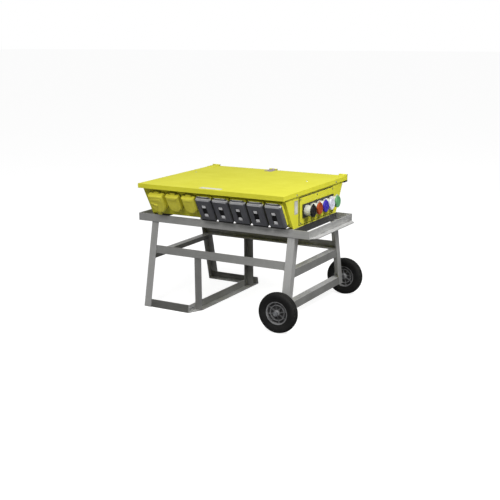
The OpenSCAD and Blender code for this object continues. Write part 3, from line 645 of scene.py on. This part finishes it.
gasket_and_shade_rubber = moulded("gasket_and_shade_rubber", (0.025, 0.025, 0.025, 1), (0.012, 0.012, 0.012, 1),
                        rough=0.8, pebble=300.0, relief_depth=0.0006)
give_finish(gasket_and_shade_rubber, "lid_gasket", "panel_gasket")

# ---- Hinges, screws and pins ----
# Three steel hinges carry the lid on its back edge: a leaf on the lid, a bracket on the
# box and a pin through both. Pins, screws and rivets are bright zinc-plated steel.

give_finish(zinc, "hinge_pins", "panel_screws", "lid_rivets")


def lay_over(finish, amount, over):
    """Lays a second colour over a finish's own, by a mask in the same tree."""
    tree = finish.node_tree
    skin = tree.nodes["Principled BSDF"].inputs["Base Color"]
    tree.links.new(blend_colour(tree, amount, skin.links[0].from_socket, over), skin)


def bare_metal(tree, place, deep, bright):
    """The mottled colour of steel that was never coated."""
    mottle = put(tree, "ShaderNodeTexNoise", {"Vector": place, "Scale": 60.0, "Detail": 5.0})
    return blend_colour(tree, stretch(tree, mottle.outputs[0], 0.35, 0.65), deep, bright)


def away_from(tree, value, centre):
    """How far a coordinate is from a centre, either way."""
    off = put(tree, "ShaderNodeMath", {0: value, 1: centre}, operation="SUBTRACT").outputs[0]
    return put(tree, "ShaderNodeMath", {0: off}, operation="ABSOLUTE").outputs[0]


# The two outer leaves were coated with the lid. The middle one is a bare grey repair.
leaf_coat = powder_coat("hinge_leaf_coat")
tree = leaf_coat.node_tree
place = put(tree, "ShaderNodeTexCoord").outputs["Object"]
across = put(tree, "ShaderNodeSeparateXYZ", {0: place}).outputs["X"]
BARE_REACH = 0.1
from_middle = away_from(tree, across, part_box("lid")[0].x * 0.06)
lay_over(leaf_coat, stretch(tree, from_middle, BARE_REACH + 0.01, BARE_REACH),
         bare_metal(tree, place, (0.24, 0.2, 0.2, 1), (0.42, 0.36, 0.35, 1)))
give_finish(leaf_coat, "hinge_leaves")

# The brackets were coated above the lip of the box, and are bare dark steel below it.
bracket_coat = powder_coat("hinge_bracket_coat")
tree = bracket_coat.node_tree
place = put(tree, "ShaderNodeTexCoord").outputs["Object"]
height = put(tree, "ShaderNodeSeparateXYZ", {0: place}).outputs["Z"]
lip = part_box("lid")[0].z
lay_over(bracket_coat, stretch(tree, height, lip + 0.006, lip + 0.003),
         bare_metal(tree, place, (0.05, 0.05, 0.052, 1), (0.1, 0.1, 0.105, 1)))
give_finish(bracket_coat, "hinge_brackets")

# ---- Labels ----
# Two blank rating plates of printed film, one stuck to the lid and a small one on the
# end. Each has only a border line.

label_film = moulded("label_film", (0.78, 0.78, 0.72, 1), (0.68, 0.67, 0.6, 1), rough=0.3)
end_film = moulded("end_label_film", (0.6, 0.61, 0.58, 1), (0.42, 0.43, 0.42, 1), rough=0.35)
BORDER_INSET, BORDER_WIDE, BORDER_SOFT = 0.003, 0.0018, 0.0003


def print_border(film, node, ink):
    """Prints a plain border line on a label, just inside its edge."""
    low_corner, high_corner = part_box(node)
    tree = film.node_tree
    place = put(tree, "ShaderNodeTexCoord").outputs["Object"]
    split = put(tree, "ShaderNodeSeparateXYZ", {0: place})
    nearest = None
    for axis in "XYZ":
        low_side, high_side = low_corner["XYZ".index(axis)], high_corner["XYZ".index(axis)]
        if high_side - low_side < 0.01:  # the thickness of the film
            continue
        off = away_from(tree, split.outputs[axis], (low_side + high_side) / 2)
        left = put(tree, "ShaderNodeMath", {0: (high_side - low_side) / 2, 1: off},
                   operation="SUBTRACT").outputs[0]
        nearest = left if nearest is None else put(
            tree, "ShaderNodeMath", {0: nearest, 1: left}, operation="MINIMUM").outputs[0]
    inner = BORDER_INSET + BORDER_WIDE
    line = times(tree, stretch(tree, nearest, BORDER_INSET, BORDER_INSET + BORDER_SOFT),
                 stretch(tree, nearest, inner, inner - BORDER_SOFT))
    lay_over(film, line, ink)


print_border(label_film, "lid_label", (0.25, 0.24, 0.2, 1))
print_border(end_film, "end_label", (0.06, 0.06, 0.07, 1))
give_finish(label_film, "lid_label")
give_finish(end_film, "end_label")

# ---- Inlets ----
# Five single-pole inlets: black square flange, ribbed light grey sleeve, brass
# contact, and a snap cap coloured for its conductor on a pinned ear.

black_plastic = moulded("black_plastic", (0.022, 0.022, 0.023, 1), (0.012, 0.012, 0.013, 1),
                        rough=0.4, rub_colour=(0.08, 0.08, 0.085, 1))
sleeve_plastic = moulded("sleeve_plastic", (0.66, 0.67, 0.64, 1), (0.5, 0.51, 0.48, 1),
                         rough=0.35)
contact_brass = zinc_plate("contact_brass", light=(0.7, 0.5, 0.2, 1), deep=(0.5, 0.33, 0.12, 1))
give_finish(black_plastic, "inlet_flanges")
give_finish(sleeve_plastic, "inlet_sleeves")
give_finish(contact_brass, "inlet_contacts")
CAP_COLOURS = {
    "black": ((0.006, 0.006, 0.0062, 1), (0.004, 0.004, 0.0042, 1)),
    "red": ((0.4, 0.06, 0.005, 1), (0.31, 0.042, 0.004, 1)),
    "blue": ((0.05, 0.03, 0.46, 1), (0.035, 0.022, 0.34, 1)),
    "white": ((0.72, 0.72, 0.82, 1), (0.6, 0.6, 0.7, 1)),
    "green": ((0.14, 0.4, 0.17, 1), (0.1, 0.31, 0.13, 1)),
}
for cap, (bright, deep) in CAP_COLOURS.items():
    cap_plastic = moulded(cap + "_cap_plastic", bright, deep, rough=0.36, dirty=0.3)
    give_finish(cap_plastic, "cap_" + cap)

# ---- Yellow covers ----
# Three spring flip lids over locking outlets, moulded in yellow thermoplastic. Each has
# a raised ring and a hinge strap on its face, and the first has a swing lever and a
# tongue as well.

yellow_plastic = moulded("yellow_plastic", (0.9, 0.84, 0.07, 1), (0.74, 0.68, 0.05, 1),
                         rough=0.42, rub_colour=(0.8, 0.78, 0.25, 1), width=0.002)
# The bases are a darker copy of the yellow plastic, painted shade for the shadow round and behind
# the covers, with heavier dust as well.
frame_shaded_plastic = moulded("yellow_frame_shaded_plastic", (0.36, 0.33, 0.015, 1), (0.26, 0.24, 0.012, 1),
                        dirty=0.8)
give_finish(yellow_plastic, "yellow_lid_1", "yellow_lid_2", "yellow_lid_3")
give_finish(frame_shaded_plastic, "yellow_bases")
give_finish(black_plastic, "locking_outlets")

wall_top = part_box("lid")[0].z
end_low, end_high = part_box("end_plate_right")
end_points = [v.co for v in parts["end_plate_right"].data.vertices]
wall_foot = max(abs(point.y) for point in end_points if abs(point.z - end_low.z) < 1e-4)
up_wall = Vector((0, wall_foot - end_high.y, end_high.z - end_low.z)).normalized()
off_wall = Vector((1, 0, 0)).cross(up_wall)
wall_origin = Vector((0, -wall_foot, end_low.z)) + up_wall * ((wall_top - end_low.z) / up_wall.z)


def on_wall(x, up, out):
    """Lays a piece made flat, its face towards +Z, on the sloping front wall."""
    spot = wall_origin + Vector((x, 0, 0)) + up_wall * up + off_wall * out
    return Matrix((
        (1, up_wall.x, off_wall.x, spot.x), (0, up_wall.y, off_wall.y, spot.y),
        (0, up_wall.z, off_wall.z, spot.z), (0, 0, 0, 1)))


def rounded_block(name, width, height, thick, corner, soft):
    """A block with rounded corners and a softened face, its back at zero height."""
    bpy.ops.mesh.primitive_cube_add(size=1)
    piece = open_piece(name)
    bpy.ops.transform.translate(value=(0, 0, 0.5))
    bpy.ops.transform.resize(value=(width, height, thick), center_override=(0, 0, 0))
    pick(piece, "EDGE", lambda e: abs(e.verts[0].co.z - e.verts[1].co.z) > thick / 2)
    bpy.ops.mesh.bevel(offset=corner, segments=5)
    pick(piece, "EDGE", lambda e: all(v.co.z > thick * 0.99 for v in e.verts))
    bpy.ops.mesh.bevel(offset=soft, segments=3)
    return piece


def measure_cover(node):
    """The points of a cover from the wall's origin, how far out its face is, and the face."""
    points = [v.co - wall_origin for v in parts[node].data.vertices]
    out = max(point.dot(off_wall) for point in points)
    return points, out, [point for point in points if point.dot(off_wall) > out - 0.001]


RING_SHARE_OF_FACE, RING_WIDE, RING_PROUD, RING_ROUND = 0.68, 0.0045, 0.0016, 0.0008
STRAP_THICK, STRAP_SHARE, STRAP_DROP, SUNK = 0.0026, 0.16, 0.1, 0.0006
LEVER_LONG, LEVER_HIGH, LEVER_THICK = 0.03, 0.013, 0.0045
TONGUE_WIDE, TONGUE_HIGH, TONGUE_THICK, TONGUE_OUT = 0.042, 0.052, 0.007, 0.016
# The first cover is the tallest, so its strap sits lower to clear the lid when open.
STRAP_CLEAR = 0.014
for number in range(1, 4):
    points, out, face = measure_cover(f"yellow_lid_{number}")
    middle_x = (min(p.x for p in face) + max(p.x for p in face)) / 2
    half = (max(p.x for p in face) - min(p.x for p in face)) / 2
    foot = min(p.dot(up_wall) for p in face)
    head = max(p.dot(up_wall) for p in face)
    inner_r = half * RING_SHARE_OF_FACE
    outer_r = inner_r + RING_WIDE
    ring = turned("ring", [
        (inner_r, 0.0005), (inner_r, -RING_PROUD * 0.6), (inner_r + RING_ROUND, -RING_PROUD),
        (outer_r - RING_ROUND, -RING_PROUD), (outer_r, -RING_PROUD * 0.6), (outer_r, 0.0005)], 64)
    shut_piece(ring, yellow_plastic, 40)
    ring.data.transform(on_wall(middle_x, foot + half, out)
                        @ Matrix.Rotation(math.pi / 2, 4, "X"))
    strap = rounded_block("strap", half * 1.5, (head - foot) * STRAP_SHARE, STRAP_THICK,
                          0.003, 0.0008)
    shut_piece(strap, yellow_plastic, 40)
    drop = (head - foot) * STRAP_DROP + (STRAP_CLEAR if number == 1 else 0)
    strap.data.transform(on_wall(middle_x, head - drop, out - SUNK))
    group = [ring, strap]
    if number == 1:
        lever = rounded_block("lever", LEVER_LONG, LEVER_HIGH, LEVER_THICK, 0.005, 0.0012)
        pick(lever, "VERT", lambda v: v.co.x < 0)
        bpy.ops.transform.resize(value=(1, 0.6, 0.8), center_override=(0, 0, 0))
        shut_piece(lever, yellow_plastic, 40)
        lever.data.transform(on_wall(middle_x - half * 0.5, foot + half * 1.25, out - SUNK)
                             @ Matrix.Rotation(math.radians(-24), 4, "Z")
                             @ Matrix.Diagonal((1.7, 1.4, 1.2, 1)))
        tongue = rounded_block("tongue", TONGUE_WIDE, TONGUE_HIGH, TONGUE_THICK, 0.006, 0.0014)
        pick(tongue, "VERT", lambda v: v.co.y < 0)
        bpy.ops.transform.resize(value=(0.7, 1, 1), center_override=(0, 0, 0))
        shut_piece(tongue, yellow_plastic, 40)
        tongue.data.transform(on_wall(middle_x - 0.03, foot - 0.02, TONGUE_OUT))
        group += [lever, tongue]
    for piece in group:
        piece.select_set(True)
    bpy.context.view_layer.objects.active = ring
    bpy.ops.object.join()
    ring.name = ring.data.name = f"yellow_cover_face_{number}"
    bpy.ops.object.select_all(action="DESELECT")
    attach(ring, f"yellow_cover_{number}")

# ---- Grey covers ----
# Five bevelled weatherproof flip lids over duplex outlets, in dark grey thermoplastic
# whose upper faces are painted lighter, a painted highlight for the light from above.
# They hinge on frames fixed to the front wall.

grey_plastic = moulded("grey_plastic", (0.1, 0.102, 0.115, 1), (0.072, 0.074, 0.084, 1),
                       rough=0.36, rub_colour=(0.24, 0.24, 0.25, 1), width=0.0015)
tree = grey_plastic.node_tree
# Painted highlight: faces that look up are blended to a lighter grey in patches.
facing = put(tree, "ShaderNodeSeparateXYZ",
             {0: put(tree, "ShaderNodeNewGeometry").outputs["Normal"]}).outputs["Z"]
place = put(tree, "ShaderNodeTexCoord").outputs["Object"]
ledge_light_breakup = put(tree, "ShaderNodeTexNoise", {"Vector": place, "Scale": 55.0, "Detail": 5.0})
painted_ledge_light = times(tree, stretch(tree, facing, 0.05, 0.5),
              stretch(tree, ledge_light_breakup.outputs[0], 0.25, 0.5, 0.75, 1.0))
lay_over(grey_plastic, painted_ledge_light, (0.46, 0.46, 0.465, 1))
give_finish(grey_plastic, *(f"grey_lid_{number}" for number in range(1, 6)))
give_finish(moulded("outlet_plastic", (0.035, 0.035, 0.037, 1), (0.025, 0.025, 0.026, 1)),
            "duplex_outlets")

# The frames behind the covers are coated with the box, and their knuckles are moulded.
KNUCKLE_OUT = 0.0222
frame_coat = powder_coat("cover_frame_coat")
tree = frame_coat.node_tree
place = put(tree, "ShaderNodeTexCoord").outputs["Object"]
stand = put(tree, "ShaderNodeVectorMath", {0: place, 1: off_wall},
            operation="DOT_PRODUCT").outputs["Value"]
stand = put(tree, "ShaderNodeMath", {0: stand, 1: wall_origin.dot(off_wall)},
            operation="SUBTRACT").outputs[0]
mottle = put(tree, "ShaderNodeTexNoise", {"Vector": place, "Scale": 40.0, "Detail": 4.0})
knuckle = blend_colour(tree, mottle.outputs[0], (0.05, 0.05, 0.055, 1), (0.085, 0.085, 0.09, 1))
lay_over(frame_coat, stretch(tree, stand, KNUCKLE_OUT, KNUCKLE_OUT + 0.0004), knuckle)
give_finish(frame_coat, "grey_bases")

# ---- Latches, tabs and shade strips ----
# Each grey cover is held by a black rocker latch let into its face, with a light grey
# thumb tab above and below, both pressed into the well of the cover. A black rubber
# strip along its lower edge is a dark sheet put there as painted shade, for the shadow under the
# cover.

latch_plastic = moulded("latch_plastic", (0.006, 0.006, 0.0065, 1), (0.003, 0.003, 0.0035, 1),
                        rough=0.7, dirty=0.1, gloss=0.25)
tab_plastic = moulded("tab_plastic", (0.85, 0.85, 0.86, 1), (0.72, 0.72, 0.73, 1), rough=0.35)
LATCH_DROP, LATCH_LEFT, LATCH_DEEP = 0.006, 0.002, 0.0048
LATCH_WIDE, LATCH_HIGH, LATCH_THICK = 0.0325, 0.0905, 0.0032
TAB_WIDE, TAB_HIGH, TAB_THICK, TAB_APART = 0.0255, 0.0185, 0.0034, 0.033
SHADE_STRIP_SHARE, SHADE_STRIP_HIGH, SHADE_STRIP_THICK, SHADE_STRIP_DROP, SHADE_STRIP_OUT = 0.93, 0.0085, 0.038, 0.0032, 0.007
for number in range(1, 6):
    body = f"grey_cover_{number}"
    points, out, face = measure_cover(f"grey_lid_{number}")
    low_corner, high_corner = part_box(f"grey_lid_{number}")
    middle_x = (low_corner.x + high_corner.x) / 2
    heights = [point.dot(up_wall) for point in face]
    centre_up = (min(heights) + max(heights)) / 2 - LATCH_DROP

    rocker = rounded_block("rocker", LATCH_WIDE, LATCH_HIGH, LATCH_THICK, 0.004, 0.0007)
    pick(rocker, "FACE", lambda f: f.normal.z > 0.99 and f.calc_area() > 0.001)
    bpy.ops.mesh.inset(thickness=0.0035)
    bpy.ops.transform.translate(value=(0, 0, -0.0011))
    shut_piece(rocker, latch_plastic, 30)
    rocker.data.transform(on_wall(middle_x - LATCH_LEFT, centre_up, out - LATCH_DEEP))
    rocker.name = rocker.data.name = f"cover_latch_{number}"
    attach(rocker, body)

    # Painted shade: a dark rubber strip along the lower edge stands for the shadow under the
    # cover.
    shade_strip = rounded_block("shade_strip", (high_corner.x - low_corner.x) * SHADE_STRIP_SHARE, SHADE_STRIP_HIGH,
                         SHADE_STRIP_THICK, 0.0025, 0.001)
    shut_piece(shade_strip, gasket_and_shade_rubber, 30)
    edge = min(point.dot(up_wall) for point in points)
    shade_strip.data.transform(on_wall(middle_x, edge - SHADE_STRIP_DROP, SHADE_STRIP_OUT))
    shade_strip.name = shade_strip.data.name = f"cover_shade_strip_{number}"
    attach(shade_strip, body)

    tab = rounded_block("tab", TAB_WIDE, TAB_HIGH, TAB_THICK, 0.003, 0.0009)
    pick(tab, "FACE", lambda f: f.normal.z > 0.99 and f.calc_area() > 0.0001)
    bpy.ops.mesh.inset(thickness=0.002)
    bpy.ops.transform.resize(value=(0.94, 0.7, 1))
    bpy.ops.transform.translate(value=(0, 0, -0.0009))
    shut_piece(tab, tab_plastic, 30)
    tabs = copies(tab, f"latch_tabs_{number}", [
        on_wall(middle_x - LATCH_LEFT, centre_up + up, out - TAB_THICK)
        for up in (TAB_APART, -TAB_APART)])
    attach(tabs, body)

# ---- Floor, light and camera ----
# A plain pale floor under a white sky, wide soft lights overhead, in front and at the
# right, and the camera at the right front, looking slightly down.

bpy.ops.mesh.primitive_plane_add(size=120, location=(0, 0, 0))
floor = bpy.context.object
floor.name = "studio_floor"
pale = bpy.data.materials.new("pale_floor")
pale.use_nodes = True
tree = pale.node_tree
tree.nodes.clear()
seen = put(tree, "ShaderNodeLightPath")
matt = put(tree, "ShaderNodeBsdfDiffuse", {"Color": (0.2, 0.2, 0.2, 1)})
shade = put(tree, "ShaderNodeBsdfDiffuse", {"Color": (0.36, 0.36, 0.36, 1)})
glow = put(tree, "ShaderNodeEmission", {"Color": (1, 1, 1, 1), "Strength": 0.83})
bright = put(tree, "ShaderNodeAddShader", {0: shade.outputs[0], 1: glow.outputs[0]})
chosen = put(tree, "ShaderNodeMixShader", {0: seen.outputs["Is Camera Ray"], 1: matt.outputs[0],
                                           2: bright.outputs[0]})
put(tree, "ShaderNodeOutputMaterial", {"Surface": chosen.outputs[0]})
floor.data.materials.append(pale)

sky = bpy.data.worlds.new("white_sky")
sky.use_nodes = True
tree = sky.node_tree
tree.nodes.clear()
seen = put(tree, "ShaderNodeLightPath")
aim = put(tree, "ShaderNodeTexCoord")
split = put(tree, "ShaderNodeSeparateXYZ", {0: aim.outputs["Generated"]})
brighter_above = stretch(tree, split.outputs["Z"], 0.0, 0.9, 0.2, 0.45)
lit = put(tree, "ShaderNodeBackground", {"Color": (1, 1, 1, 1), "Strength": brighter_above})
plain = put(tree, "ShaderNodeBackground", {"Color": (1, 1, 1, 1), "Strength": 1.0})
chosen = put(tree, "ShaderNodeMixShader", {0: seen.outputs["Is Camera Ray"], 1: lit.outputs[0],
                                           2: plain.outputs[0]})
put(tree, "ShaderNodeOutputWorld", {"Surface": chosen.outputs[0]})
bpy.context.scene.world = sky


def soft_light(name, place, aim, size, power):
    """A round soft light at a place, turned to what it lights."""
    lamp = bpy.data.objects.new(name, bpy.data.lights.new(name, "AREA"))
    lamp.data.shape = "DISK"
    lamp.data.size = size
    lamp.data.energy = power
    lamp.location = place
    lamp.rotation_euler = (Vector(aim) - Vector(place)).to_track_quat("-Z", "Y").to_euler()
    bpy.context.scene.collection.objects.link(lamp)


soft_light("overhead", (-1.3, 0.5, 3.6), (0.1, 0, 0.6), 1.6, 10)
soft_light("front", (0.6, -4.4, 4.0), (0.1, 0, 0.5), 2.0, 150)
soft_light("right_side", (3.4, -0.9, 3.5), (0.2, 0, 0.4), 1.6, 170)

CAMERA_PLACE, LENS_MM = (3.0559, -5.1645, 1.8041), 66.43
yaw, pitch, roll = math.radians(30.3), math.radians(13.59), math.radians(-0.48)
ahead = Vector((-math.sin(yaw) * math.cos(pitch), math.cos(yaw) * math.cos(pitch),
                -math.sin(pitch)))
across = Vector((math.cos(yaw), math.sin(yaw), 0))
upward = across.cross(ahead)
level = across * math.cos(roll) + upward * math.sin(roll)
upward = upward * math.cos(roll) - across * math.sin(roll)
eye = bpy.data.objects.new("camera", bpy.data.cameras.new("camera"))
eye.data.sensor_width = 36
eye.data.lens = LENS_MM
eye.data.clip_start, eye.data.clip_end = 0.05, 200
eye.matrix_world = Matrix((
    (level.x, upward.x, -ahead.x, CAMERA_PLACE[0]),
    (level.y, upward.y, -ahead.y, CAMERA_PLACE[1]),
    (level.z, upward.z, -ahead.z, CAMERA_PLACE[2]),
    (0, 0, 0, 1)))
bpy.context.scene.collection.objects.link(eye)
bpy.context.scene.camera = eye
bpy.context.scene.view_settings.view_transform = "Standard"
